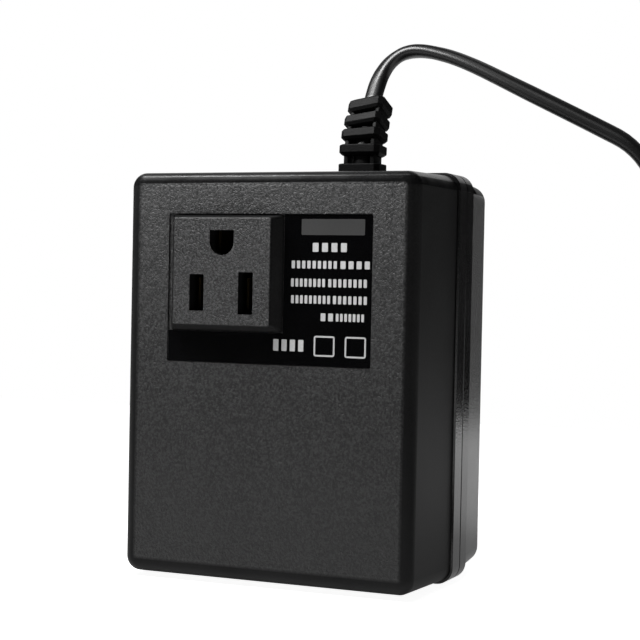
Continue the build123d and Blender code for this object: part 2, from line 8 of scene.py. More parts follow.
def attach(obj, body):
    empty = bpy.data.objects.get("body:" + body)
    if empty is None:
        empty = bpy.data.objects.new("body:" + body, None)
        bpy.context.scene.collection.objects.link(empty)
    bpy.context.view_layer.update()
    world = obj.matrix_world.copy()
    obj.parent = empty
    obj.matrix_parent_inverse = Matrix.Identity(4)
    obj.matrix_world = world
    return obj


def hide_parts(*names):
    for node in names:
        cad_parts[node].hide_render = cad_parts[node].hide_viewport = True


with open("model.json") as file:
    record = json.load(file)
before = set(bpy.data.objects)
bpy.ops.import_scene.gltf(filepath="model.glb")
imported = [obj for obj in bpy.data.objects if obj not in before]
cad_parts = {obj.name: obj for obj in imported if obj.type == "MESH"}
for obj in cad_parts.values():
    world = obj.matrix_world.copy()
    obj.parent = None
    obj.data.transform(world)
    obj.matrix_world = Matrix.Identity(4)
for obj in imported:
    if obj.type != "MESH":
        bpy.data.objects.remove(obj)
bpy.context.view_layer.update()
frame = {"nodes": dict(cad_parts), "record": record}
nodes = frame["nodes"]
scene = bpy.context.scene
mm = 0.001
mergeWithin = 1e-6

# Travel voltage converter standing on its rims. Metres; +X right, +Y back, +Z up.
# Camera as the photograph was taken: from the object's right, nearly level. Angles in degrees.
view = {
    "lens": 91.43, "near": 0.01, "place": (0.17855, -0.41062, 0.07924),
    "yaw": 23.123, "down": 1.207, "roll": 1.150,
}


def standAt(thing, place, right, above, ahead):
    # Put a camera or lamp at a place, looking ahead
    turned = Matrix(np.column_stack([right, above, -ahead]).tolist()).to_4x4()
    thing.matrix_world = Matrix.Translation(place) @ turned
    scene.collection.objects.link(thing)


def setCamera():
    yaw, down, roll = np.radians([view["yaw"], view["down"], view["roll"]])
    ahead = np.array([-np.sin(yaw) * np.cos(down), np.cos(yaw) * np.cos(down), -np.sin(down)])
    level = np.array([np.cos(yaw), np.sin(yaw), 0.0])
    upright = np.cross(level, ahead)
    right = np.cos(roll) * level + np.sin(roll) * upright
    above = np.cos(roll) * upright - np.sin(roll) * level
    camera = bpy.data.objects.new("camera", bpy.data.cameras.new("camera"))
    camera.data.lens = view["lens"]
    camera.data.clip_start = view["near"]
    standAt(camera, view["place"], right, above, ahead)
    scene.camera = camera


setCamera()
print("camera set")


def addMesh(name, points, faces, finish, smooth=True):
    # Object at the origin from an array of points and a list of faces
    mesh = bpy.data.meshes.new(name)
    mesh.from_pydata(np.asarray(points, float).tolist(), [], [list(map(int, f)) for f in faces])
    mesh.polygons.foreach_set("use_smooth", np.full(len(mesh.polygons), smooth))
    mesh.materials.append(finish)
    mesh.update()
    piece = bpy.data.objects.new(name, mesh)
    scene.collection.objects.link(piece)
    return piece


def skin(grid, capped=True):
    # Closed loops in rows, each point joined to the next and to the one above it;
    # both end rows are closed by a fan to their mean point
    rows, cols = grid.shape[:2]
    index = np.arange(rows * cols).reshape(rows, cols)
    after = np.roll(index, -1, axis=1)
    faces = np.stack([index[:-1], after[:-1], after[1:], index[1:]], -1).reshape(-1, 4).tolist()
    points = grid.reshape(-1, 3)
    if capped:
        points = np.vstack([points, grid[0].mean(0), grid[-1].mean(0)])
        first, last = np.full(cols, rows * cols), np.full(cols, rows * cols + 1)
        faces += np.stack([after[0], index[0], first], -1).tolist()
        faces += np.stack([index[-1], after[-1], last], -1).tolist()
    return points, faces


def hoop(grid):
    # As skin, with the last row joined back to the first
    return skin(np.concatenate([grid, grid[:1]]), capped=False)


def together(shells):
    # Several skins as one array of points and one list of faces
    points, faces, start = [], [], 0
    for p, f in shells:
        points.append(p)
        faces += [[i + start for i in face] for face in f]
        start += len(p)
    return np.vstack(points), faces


def outwards(piece):
    # Merge doubles and turn every face to the outside
    work = bmesh.new()
    work.from_mesh(piece.data)
    bmesh.ops.remove_doubles(work, verts=work.verts, dist=mergeWithin)
    bmesh.ops.recalc_face_normals(work, faces=work.faces)
    work.to_mesh(piece.data)
    work.free()
    return piece


def softenEdges(piece, width):
    # Narrow round on every edge that turns by more than 30 degrees
    bevel = piece.modifiers.new("edges", "BEVEL")
    bevel.width = width
    bevel.segments = 2
    bevel.limit_method = "ANGLE"
    bevel.angle_limit = np.radians(30)
    bevel.harden_normals = True


def roundedLoop(halfWide, halfDeep, corner, steps=6):
    # Rectangle with quarter circles at its corners, counter-clockwise: each point is a corner's
    # middle plus the corner radius times (cosine, sine) of its angle
    angle = np.linspace(0, np.pi / 2, steps)
    quarter = np.arange(4)[:, None] * np.pi / 2 + angle
    signU = np.array([1, -1, -1, 1])[:, None]
    signV = np.array([1, 1, -1, -1])[:, None]
    u = signU * (halfWide - corner) + corner * np.cos(quarter)
    v = signV * (halfDeep - corner) + corner * np.sin(quarter)
    return np.stack([u.ravel(), v.ravel()], -1)


def blockRows(rows):
    # Rounded rectangles at heights: each row is (height, half width, half depth, corner)
    steps = 2
    loops = [np.column_stack([roundedLoop(w, d, c, steps), np.full(4 * steps, h)]) for h, w, d, c in rows]
    return np.stack(loops)


def unit(rows):
    return rows / np.linalg.norm(rows, axis=-1, keepdims=True)


# Finishes. Each pattern runs on Object coordinates, so it stays on the piece.
def startFinish(name, colour, roughness, **sockets):
    finish = bpy.data.materials.new(name)
    finish.use_nodes = True
    shader = finish.node_tree.nodes["Principled BSDF"]
    shader.inputs["Base Color"].default_value = (*colour, 1)
    shader.inputs["Roughness"].default_value = roughness
    for socket, value in sockets.items():
        shader.inputs[socket.replace("_", " ")].default_value = value
    return finish, shader


def addNode(finish, kind, inputs=None, **settings):
    # New node in a material or world; an input is a value or another node's output
    node = finish.node_tree.nodes.new(kind)
    for key, value in settings.items():
        setattr(node, key, value)
    for key, value in (inputs or {}).items():
        if isinstance(value, bpy.types.NodeSocket):
            finish.node_tree.links.new(value, node.inputs[key])
        else:
            node.inputs[key].default_value = value
    return node


def objectPlace(finish, stretch=(1, 1, 1)):
    # Place on the piece, stretched along its axes
    source = addNode(finish, "ShaderNodeTexCoord").outputs["Object"]
    return addNode(finish, "ShaderNodeMapping", {"Vector": source, "Scale": stretch}).outputs["Vector"]


def noiseAt(finish, place, scale, detail=3.0, roughness=0.55):
    return addNode(finish, "ShaderNodeTexNoise", {
        "Vector": place, "Scale": scale, "Detail": detail, "Roughness": roughness}).outputs["Fac"]


def ramp(finish, value, low, high, toLow, toHigh):
    # Straight line from toLow at low to toHigh at high, held flat outside
    return addNode(finish, "ShaderNodeMapRange", {
        "Value": value, "From Min": low, "From Max": high, "To Min": toLow, "To Max": toHigh}).outputs["Result"]


def calc(finish, operation, a, b):
    return addNode(finish, "ShaderNodeMath", {0: a, 1: b}, operation=operation).outputs[0]


def shade(finish, shader, amount, dark, light):
    # Base colour between two tones
    tones = addNode(finish, "ShaderNodeMix", {
        "Factor": amount, "A": (*dark, 1), "B": (*light, 1)}, data_type="RGBA", clamp_factor=False)
    finish.node_tree.links.new(tones.outputs["Result"], shader.inputs["Base Color"])


def bumps(finish, shader, height, strength, distance):
    bump = addNode(finish, "ShaderNodeBump", {
        "Height": height, "Strength": strength, "Distance": distance})
    finish.node_tree.links.new(bump.outputs["Normal"], shader.inputs["Normal"])


def moulded(look):
    # Moulded plastic or rubber: fine bumps, and gloss and tone that wander slightly
    finish, shader = startFinish(
        look["name"], look["colour"], look["gloss"][0], Specular_IOR_Level=look.get("shine", 0.5))
    place = objectPlace(finish)
    slow = noiseAt(finish, place, 60)
    grain = noiseAt(finish, place, look["grain"], 2.0)
    gloss = ramp(finish, slow, 0.3, 0.7, *look["gloss"])
    finish.node_tree.links.new(gloss, shader.inputs["Roughness"])
    colour = np.array(look["colour"])
    shade(finish, shader, calc(finish, "MULTIPLY", slow, grain), colour * 0.8, colour * 1.35)
    bumps(finish, shader, grain, look["bump"], look.get("deep", 0.0001))
    return finish


def metal(look):
    # Plated or bare metal with fine drawn lines and cloudy gloss
    finish, shader = startFinish(look["name"], look["colour"], look["gloss"][0], Metallic=1.0)
    lines = noiseAt(finish, objectPlace(finish, look.get("drawn", (1, 1, 1))), 900)
    clouds = noiseAt(finish, objectPlace(finish), 150)
    gloss = ramp(finish, calc(finish, "MULTIPLY", clouds, lines), 0.1, 0.5, *look["gloss"])
    finish.node_tree.links.new(gloss, shader.inputs["Roughness"])
    colour = np.array(look["colour"])
    shade(finish, shader, clouds, colour * 0.82, np.minimum(colour * 1.1, 1))
    bumps(finish, shader, lines, look["bump"], 0.00005)
    return finish


def banded(look):
    # Even bands across one axis: laminations, wire turns or wrapped tape
    finish, shader = startFinish(look["name"], look["colour"], look["gloss"], Metallic=look.get("metal", 0.0))
    place = objectPlace(finish)
    wave = addNode(finish, "ShaderNodeTexWave", {
        "Vector": place, "Scale": look["bands"], "Distortion": look.get("wander", 0.3), "Detail": 1.0},
        bands_direction=look["axis"], wave_profile="SIN").outputs["Fac"]
    clouds = noiseAt(finish, place, 200)
    colour = np.array(look["colour"])
    shade(finish, shader, calc(finish, "MULTIPLY", wave, clouds), colour * 0.6, colour * 1.5)
    bumps(finish, shader, wave, look["bump"], look["deep"])
    return finish


# Case and outlet plate. middle, halfWide, low, high, front and fade bound the grained face, side is the
# grain left elsewhere. The side values are for the front half, the rims and the rear half, the top values
# for the top's front round and the flat top above it. calm and level run up the height of the face; on the
# case they are painted light: the face is lighter and its grain sparkles more towards the top, as lit from
# above.
grainedLooks = {
    "case_plastic": {
        "name": "casePlastic", "colour": (0.0215, 0.0215, 0.0217), "smoothTone": (0.0045, 0.0045, 0.0047),
        "grain": 1600, "side": 0.08, "middle": 0.0003, "halfWide": 0.0375, "low": 0.0058, "high": 0.1048,
        "front": -0.0267, "fade": 0.0010, "rims": (0.0007, 0.0129), "topRound": (0.1050, 0.1073),
        "faceGloss": 0.46, "sideGloss": (0.46, 0.15, 0.27), "topGloss": (0.30, 0.28),
        "faceShine": 0.40, "sideShine": (0.13, 0.50, 0.62), "topShine": (0.02, 0.60),
        # calm and level: painted light, the face lighter and its sparkle livelier towards the top
        "paintedSparkle": (0.015, 0.105, 0.30), "level": (0.050, 0.105, 0.27, 0.88),
    },
    "outlet_plastic": {
        "name": "outletPlastic", "colour": (0.021, 0.021, 0.0215), "smoothTone": (0.0065, 0.0065, 0.0067),
        "grain": 1700, "side": 0.08, "middle": -0.0116, "halfWide": 0.01385, "low": 0.06865, "high": 0.09625,
        "front": -0.0313, "fade": 0.0003, "rims": (0.0, 0.001), "topRound": (0.12, 0.13),
        "faceGloss": 0.50, "sideGloss": (0.36, 0.36, 0.36), "topGloss": (0.36, 0.36),
        "faceShine": 0.50, "sideShine": (0.15, 0.15, 0.15), "topShine": (0.15, 0.15),
        "paintedSparkle": (0.0, 0.0001, 0.8), "level": (0.0, 0.0001, 0.5, 0.5),
    },
}
grainShape = {
    "coarse": 0.7, "fine": 0.3, "finer": 2.3, "deep": 0.0005, "slow": 35, "wander": 0.03,
    "speckle": (0.43, 0.60), "lightest": 2.4, "rimStep": 0.0002, "topStep": 0.0003,
}


def grainedFinish(look):
    # Grain over the front face inside its smooth round edges, and very faint elsewhere
    g, fade = grainShape, look["fade"]
    finish, shader = startFinish(look["name"], look["colour"], look["faceGloss"])
    place = addNode(finish, "ShaderNodeTexCoord").outputs["Object"]
    x, y, z = addNode(finish, "ShaderNodeSeparateXYZ", {"Vector": place}).outputs
    across = calc(finish, "ABSOLUTE", calc(finish, "SUBTRACT", x, look["middle"]), 0.0)
    inside = ramp(finish, across, look["halfWide"], look["halfWide"] + fade, 1.0, 0.0)
    overFoot = ramp(finish, z, look["low"] - fade, look["low"], 0.0, 1.0)
    underTop = ramp(finish, z, look["high"], look["high"] + fade, 1.0, 0.0)
    atFront = ramp(finish, y, look["front"] - fade / 3, look["front"], 1.0, 0.0)
    face = calc(finish, "MULTIPLY", calc(finish, "MULTIPLY", inside, atFront),
                calc(finish, "MULTIPLY", overFoot, underTop))
    coarse = noiseAt(finish, place, look["grain"], 2.0, 0.6)
    fine = noiseAt(finish, place, look["grain"] * g["finer"], 1.0)
    grain = calc(finish, "ADD", calc(finish, "MULTIPLY", coarse, g["coarse"]),
                 calc(finish, "MULTIPLY", fine, g["fine"]))
    amount = ramp(finish, face, 0.0, 1.0, look["side"], 1.0)
    bumps(finish, shader, calc(finish, "MULTIPLY", grain, amount), 1.0, g["deep"])
    # Off the face, gloss and shine change from the front half to the rims and to the rear half
    rimsFrom, rimsTo = look["rims"]
    roundFrom, topFrom = look["topRound"]
    onRims = ramp(finish, y, rimsFrom - g["rimStep"], rimsFrom, 0.0, 1.0)
    behindRims = ramp(finish, y, rimsTo, rimsTo + g["rimStep"], 0.0, 1.0)
    onRound = ramp(finish, z, roundFrom, roundFrom + g["topStep"], 0.0, 1.0)
    onTop = ramp(finish, z, topFrom, topFrom + g["topStep"], 0.0, 1.0)
    wander = ramp(finish, noiseAt(finish, place, g["slow"]), 0.3, 0.7, -g["wander"], g["wander"])
    for socket, kind in (("Roughness", "Gloss"), ("Specular IOR Level", "Shine")):
        first, second, third = look["side" + kind]
        roundValue, topValue = look["top" + kind]
        steps = calc(finish, "ADD", calc(finish, "MULTIPLY", onRims, second - first),
                     calc(finish, "MULTIPLY", behindRims, third - second))
        value = ramp(finish, onRound, 0.0, 1.0, calc(finish, "ADD", steps, first), roundValue)
        value = ramp(finish, onTop, 0.0, 1.0, value, topValue)
        value = ramp(finish, face, 0.0, 1.0, value, look["face" + kind])
        finish.node_tree.links.new(calc(finish, "ADD", value, wander), shader.inputs[socket])
    # Speckle round a middle tone; on the case this carries painted light, calmer and darker towards the foot
    # and livelier and lighter towards the top, as lit from above
    low, high, least = look["paintedSparkle"]
    paintedSparkleSwing = ramp(finish, z, low, high, least, 1.0)
    spread = calc(finish, "MULTIPLY", ramp(finish, grain, *g["speckle"], -0.5, 0.5), paintedSparkleSwing)
    tone = calc(finish, "ADD", spread, ramp(finish, z, *look["level"]))
    lightest = np.array(look["colour"]) * g["lightest"]
    shade(finish, shader, calc(finish, "MULTIPLY", tone, amount), look["smoothTone"], lightest)
    return finish


mouldedLooks = {
    "label_film": {
        "name": "labelFilm", "colour": (0.0015, 0.0015, 0.0018), "gloss": (0.08, 0.14),
        "grain": 220, "bump": 0.03},
    "label_ink": {
        "name": "labelInk", "colour": (0.62, 0.62, 0.62), "gloss": (0.35, 0.45), "grain": 2500, "bump": 0.05},
    "label_patch": {
        "name": "labelPatch", "colour": (0.040, 0.040, 0.040), "gloss": (0.45, 0.55),
        "grain": 2500, "bump": 0.05},
    "relief_rubber": {
        "name": "reliefRubber", "colour": (0.0035, 0.0035, 0.0036), "gloss": (0.45, 0.58), "shine": 0.10,
        "grain": 2200, "bump": 0.4, "deep": 0.00012},
    "cord_sheath": {
        "name": "cordSheath", "colour": (0.005, 0.005, 0.0052), "gloss": (0.33, 0.38),
        "grain": 500, "bump": 0.0},
    "tie_plastic": {
        "name": "tiePlastic", "colour": (0.010, 0.010, 0.010), "gloss": (0.38, 0.50),
        "grain": 1200, "bump": 0.3},
    "plug_plastic": {
        "name": "plugPlastic", "colour": (0.016, 0.016, 0.017), "gloss": (0.36, 0.48),
        "grain": 1900, "bump": 0.35, "deep": 0.00012},
    "sleeve_plastic": {
        "name": "sleevePlastic", "colour": (0.012, 0.012, 0.012), "gloss": (0.28, 0.38),
        "grain": 900, "bump": 0.1},
    "cutout_plastic": {
        "name": "cutoutPlastic", "colour": (0.02, 0.02, 0.02), "gloss": (0.35, 0.5),
        "grain": 1500, "bump": 0.2},
    "bobbin_nylon": {
        "name": "bobbinNylon", "colour": (0.62, 0.59, 0.50), "gloss": (0.4, 0.5), "grain": 800, "bump": 0.2},
    "insulation_paper": {
        "name": "pressPaper", "colour": (0.45, 0.34, 0.18), "gloss": (0.75, 0.9), "grain": 1300, "bump": 0.6},
    "brown_wire": {
        "name": "brownWire", "colour": (0.10, 0.035, 0.012), "gloss": (0.3, 0.4), "grain": 700, "bump": 0.1},
    "blue_wire": {
        "name": "blueWire", "colour": (0.012, 0.05, 0.30), "gloss": (0.3, 0.4), "grain": 700, "bump": 0.1},
}
metalLooks = {
    "screw_steel": {"name": "screwSteel", "colour": (0.50, 0.51, 0.53), "gloss": (0.22, 0.42), "bump": 0.15},
    # Contact brass made nearly black: painted shade of the contacts deep in the outlet's holes
    "contact_brass": {
        "name": "contactBrassPaintedShade", "colour": (0.055, 0.038, 0.018), "gloss": (0.55, 0.7),
        "drawn": (1, 0.1, 1), "bump": 0.2},
    "tinned_tag": {"name": "tinnedTag", "colour": (0.68, 0.68, 0.66), "gloss": (0.2, 0.4), "bump": 0.2},
    "pin_brass": {
        "name": "pinPlate", "colour": (0.72, 0.70, 0.66), "gloss": (0.12, 0.26),
        "drawn": (0.15, 1, 1), "bump": 0.12},
}
bandedLooks = {
    "core_steel": {
        "name": "coreSteel", "colour": (0.17, 0.17, 0.18), "gloss": 0.42, "metal": 0.8,
        "bands": 320, "axis": "Y", "bump": 0.5, "deep": 0.0002},
    "winding_copper": {
        "name": "windingCopper", "colour": (0.42, 0.13, 0.04), "gloss": 0.28, "metal": 0.7,
        "bands": 560, "axis": "Z", "bump": 0.8, "deep": 0.0003},
    "insulation_tape": {
        "name": "windingTape", "colour": (0.62, 0.44, 0.05), "gloss": 0.22,
        "bands": 35, "axis": "Z", "wander": 1.5, "bump": 0.2, "deep": 0.0001},
}
finishes = {}
for make, looks in (
        (grainedFinish, grainedLooks), (moulded, mouldedLooks), (metal, metalLooks), (banded, bandedLooks)):
    finishes.update({slot: make(look) for slot, look in looks.items()})
for entry in frame["record"]["subparts"]:
    shown = nodes[entry["node"]]
    shown.data.materials.clear()
    shown.data.materials.append(finishes[entry["material_slot"]])
print("finishes ready:", len(finishes))


def finishPiece(piece, slot, *replaced):
    # A new piece rides on the one body and stands for its CAD nodes
    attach(piece, "root")
    if replaced:
        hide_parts(*replaced)
    return piece


def makePiece(name, shells, slot, *replaced, finish=None, smooth=True, edges=0):
    # One piece of several skins
    piece = outwards(addMesh(name, *together(shells), finishes[finish or slot], smooth))
    if edges:
        softenEdges(piece, edges)
    return finishPiece(piece, slot, *replaced)


# Strain relief: blocks carried along the lead's backward bend
relief = {
    "x": 12.0, "y": 7.1, "bendFoot": 113.0, "bend": 23.0, "bendRise": 11.7, "rise": 19.2, "twist": 0.30,
    "deep": 3.9, "corner": 1.2, "under": 0.75, "over": 0.25, "edge": 0.22, "lift": [0.0, 0.035, 0.075, 0.085],
    "collarHalf": 6.05, "collarDeep": 3.95, "collarFrom": -3.0, "collarEdge": 0.2,
    "rings": [2.1, 6.2, 10.3], "ringTall": 3.0, "ringHalf": [6.0, 5.88, 5.75],
    "capTall": 4.4, "capHalf": 5.62, "capSlope": 1.2, "capCorner": 0.84,
    "railAt": 3.9, "railHalf": 0.75, "railDeep": 2.7, "railCorner": 0.35, "railFrom": -1.0, "railUnder": 2.0,
    "railRows": 14,
}


def onBend(points, rise, lift=0.0):
    # Up to bendRise the middle follows a circle: back is bend times (1 - cosine) of the turn and up is
    # bend times its sine; past it the way is straight. u, v and h are measured from there: v leans back
    # with the turn, u twists a little and its right end lifts
    straight = max(rise - relief["bendRise"], 0)
    turn = min(rise, relief["bendRise"]) / relief["bend"]
    onward = np.array([0, np.sin(turn), np.cos(turn)])
    back = np.array([0, np.cos(turn), -np.sin(turn)])
    spin = relief["twist"] * turn
    wide = np.array([np.cos(spin), 0, 0]) - back * np.sin(spin)
    deep = np.cross(onward, wide)
    wide, onward = wide * np.cos(lift) + onward * np.sin(lift), onward * np.cos(lift) - wide * np.sin(lift)
    middle = np.array([
        relief["x"], relief["y"] + relief["bend"] * (1 - np.cos(turn)) + straight * np.sin(turn),
        relief["bendFoot"] + relief["bend"] * np.sin(turn) + straight * np.cos(turn)])
    u, v, h = points[..., :1], points[..., 1:2], points[..., 2:]
    return (middle + u * wide + v * deep + h * onward) * mm


def makeRelief():
    # Each block is rounded rectangles from its under edge, wider by the bevel, to its upper edge
    r = relief
    d, c, under, over = r["deep"], r["corner"], r["under"], r["over"]
    w, e, collarDeep = r["collarHalf"], r["collarEdge"], r["collarDeep"]
    collar = [(r["collarFrom"], w, collarDeep, c), (-e, w, collarDeep, c), (0, w - e, collarDeep - e, c)]
    shells = [skin(onBend(blockRows(collar), 0))]
    t = r["ringTall"]
    for rise, w, lift in zip(r["rings"], r["ringHalf"], r["lift"]):
        rows = [(0, w - under, d - under, c), (under, w, d, c), (t - over, w, d, c), (t, w - over, d - over, c)]
        shells.append(skin(onBend(blockRows(rows), rise, lift)))
    w, t, s = r["capHalf"], r["capTall"], r["capSlope"]
    rows = [(0, w - under, d - under, c), (under, w, d, c), (t - s, w, d, c), (t, w - s, d - s, r["capCorner"])]
    shells.append(skin(onBend(blockRows(rows), r["rise"] - t, r["lift"][-1])))
    # Rails: a rectangle carried up the bend on each side
    rises = np.linspace(r["railFrom"], r["rise"] - r["railUnder"], r["railRows"])
    section = roundedLoop(r["railHalf"], r["railDeep"], r["railCorner"], 3)
    for side in (-1, 1):
        rail = np.column_stack([section[:, 0] + side * r["railAt"], section[:, 1], np.zeros(len(section))])
        shells.append(skin(np.stack([onBend(rail, rise) for rise in rises])))
    return makePiece("strainRelief", shells, "relief_rubber", "strain_relief", edges=r["edge"] * mm)


makeRelief()
print("strain relief made")

# Mains lead: the route of the CAD solids in mm, with the coil's turns as more of the same points.
# faces and facesFromEnd give the way of the lead's wide side, by mm from the relief and from the plug.
lead = {
    "wide": 5.2, "thick": 3.8, "groove": 0.04, "grooveHalf": 0.7, "roundness": 0.85, "sides": 28,
    "heldFrom": (100.1, 106.0, 112.0), "heldRows": 20,
    "route": [
        (12.0, 13.665, 130.752), (12.0, 15.903, 134.77), (12.9, 18.1, 139.3), (15.3, 19.4, 143.1),
        (19.6, 19.8, 145.5), (26.2, 19.2, 145.4), (37.0, 17.7, 142.2), (54.0, 15.9, 133.7),
        (73.0, 14.8, 124.2), (88.5, 14.3, 116.2), (95.6, 14.1, 97.0), (97.6, 14.0, 69.0),
        (98.5, 14.0, 41.0), (99.3, 14.0, 19.0), (104.6, 14.0, 8.9), (114.6, 14.0, 3.5), (125.0, 14.0, 3.5),
    ],
    "coilMiddle": (131.3, -16.5), "coilRadius": 30.7, "pitch": 5.7, "turns": 3.0, "perTurn": 16,
    "lowTurn": 3.5, "highTurn": 9.2, "climb": (1.25, 1.75),
    "tail": [(138.25, 14.0, 9.2), (144.75, 14.0, 9.2), (153.75, 14.0, 6.85), (160.25, 14.0, 6.85)],
    "splineOrder": 3, "splineSteps": 8,
    "faces": [
        (0, (1, -0.15, 0.05)), (6, (1, -0.2, 0)), (14, (0.75, -0.75, 0)), (22, (0.3, -1, 0.1)),
        (30, (0.15, -1, -0.2)), (60, (0.3, -0.8, -0.7)), (85, (0.3, -0.75, -0.75)), (125, (0.1, -1, 0)),
        (190, (0.05, -1, 0)), (245, (0, -0.1, -1)),
    ],
    "facesFromEnd": [(22, (0, -0.1, -1)), (0, (0, -1, 0))],
}


def cordSection():
    # Flat oval: u is half the width times the cosine to a power under 1, v is half the thickness times
    # the sine, less a groove that falls off as the exponential of minus u squared
    angle = np.linspace(0, 2 * np.pi, lead["sides"], endpoint=False)
    u = lead["wide"] / 2 * np.sign(np.cos(angle)) * np.abs(np.cos(angle)) ** lead["roundness"]
    groove = lead["groove"] * np.exp(-(u / lead["grooveHalf"]) ** 2)
    v = lead["thick"] / 2 * np.sin(angle) - groove * np.sign(np.sin(angle))
    return np.column_stack([u, v])


def makeHeldCord():
    # The section carried straight up to the collar, then along the bend to the relief's top
    section = cordSection()
    flat = np.column_stack([section, np.zeros(len(section))])
    rows = [onBend(flat + [0, 0, z - relief["bendFoot"]], 0) for z in lead["heldFrom"]]
    rows += [onBend(flat, rise) for rise in np.linspace(0, relief["rise"], lead["heldRows"])]
    return makePiece("heldCord", [skin(np.stack(rows))], "cord_sheath", "held_cord")


def coilPoints(c):
    # Clockwise from the back: x and y are the middle plus the radius times (cosine, sine). The radius
    # falls by the pitch each turn, holds on the climb and grows again; height rises on the climb as
    # three times the square less twice the cube of its share
    turn = np.linspace(0, c["turns"], int(c["turns"] * c["perTurn"]) + 1)
    start, end = c["climb"]
    inwards = np.minimum(turn, start) - np.maximum(turn - end, 0)
    radius = c["coilRadius"] - c["pitch"] * inwards
    angle = np.pi / 2 - 2 * np.pi * turn
    part = np.clip((turn - start) / (end - start), 0, 1)
    height = c["lowTurn"] + (c["highTurn"] - c["lowTurn"]) * part * part * (3 - 2 * part)
    x = c["coilMiddle"][0] + radius * np.cos(angle)
    y = c["coilMiddle"][1] + radius * np.sin(angle)
    return np.column_stack([x, y, height])


def leadLine():
    # One NURBS spline through the route; its points read back from a curve with no bevel
    points = np.vstack([lead["route"], coilPoints(lead), lead["tail"]]) * mm
    curve = bpy.data.curves.new("leadLine", "CURVE")
    curve.dimensions = "3D"
    spline = curve.splines.new("NURBS")
    spline.points.add(len(points) - 1)
    spline.points.foreach_set("co", np.column_stack([points, np.ones(len(points))]).ravel())
    spline.order_u = lead["splineOrder"]
    spline.use_endpoint_u = True
    spline.resolution_u = lead["splineSteps"]
    guide = bpy.data.objects.new("leadLine", curve)
    scene.collection.objects.link(guide)
    bpy.context.view_layer.update()
    mesh = bpy.data.meshes.new_from_object(guide)
    line = np.zeros(len(mesh.vertices) * 3)
    mesh.vertices.foreach_get("co", line)
    bpy.data.objects.remove(guide)
    bpy.data.meshes.remove(mesh)
    return line.reshape(-1, 3)


def makeLead():
    # Each row is a point of the line plus u times the wide way and v times the thin way there;
    # the wide way is read off by distance and squared to the line, so the lead turns slowly
    line = leadLine()
    along = unit(np.gradient(line, axis=0))
    step = np.linalg.norm(np.diff(line, axis=0), axis=1)
    run = np.concatenate([[0], np.cumsum(step)]) / mm
    total = run[-1]
    faces = lead["faces"] + [(total - back, way) for back, way in lead["facesFromEnd"]]
    stations = [place for place, way in faces]
    ways = np.array([way for place, way in faces])
    wide = np.stack([np.interp(run, stations, ways[:, k]) for k in range(3)], -1)
    wide = unit(wide - (wide * along).sum(1, keepdims=True) * along)
    thin = np.cross(along, wide)
    u, v = cordSection().T
    grid = line[:, None] + (u[:, None] * wide[:, None] + v[:, None] * thin[:, None]) * mm
    piece = makePiece("mainsLead", [skin(grid)], "cord_sheath", "mains_cord", "cord_coil", "cord_tail")
    return piece, line, total * mm


makeHeldCord()
mainsLead, leadPath, leadLength = makeLead()
print("lead made, length", round(leadLength, 3))

# Two-pin plug lying on the floor, its pins along +X. Rows of the block are (distance, share of its size).
plug = {
    "back": 174.25, "y": 14.0, "z": 6.85, "halfWide": 17.6, "flat": 12.4, "halfThick": 6.8,
    "blockRows": [
        (0, 0.84), (0.35, 0.93), (1.0, 0.98), (2.2, 1.0),
        (19.6, 1.0), (21.2, 0.985), (21.8, 0.95), (22.0, 0.90)],
    "neckFrom": 160.25, "neckLong": 14.2, "neckRows": 57, "neckCorner": 0.62, "swell": 1.5,
    "neckStart": (4.2, 3.4), "neckEnd": (7.0, 5.0),
    "grooves": 5.0, "grooveDeep": (0.75, 0.60), "grooveUpTo": 0.86,
    "gripRows": [178.0, 180.6, 183.2, 185.8, 188.4], "gripHalf": 0.55, "gripLong": 8.5, "gripCorner": 0.5,
    "gripHeights": [(-0.95, 1.0), (-0.13, 1.0), (-0.01, 0.75)], "gripTaper": 0.1,
}


def hexLoop(halfWide, flat, halfThick, count=8):
    # Six straight sides with even points, each point then twice made a quarter of its neighbours
    # and a half of itself, which rounds the corners
    corners = np.array([(halfWide, 0), (flat, halfThick), (-flat, halfThick),
                        (-halfWide, 0), (-flat, -halfThick), (flat, -halfThick)])
    after = np.roll(corners, -1, axis=0)
    share = np.linspace(0, 1, count, endpoint=False)[:, None]
    loop = np.concatenate([a + (b - a) * share for a, b in zip(corners, after)])
    for pull in range(2):
        loop = (np.roll(loop, 1, 0) + 2 * loop + np.roll(loop, -1, 0)) / 4
    return loop


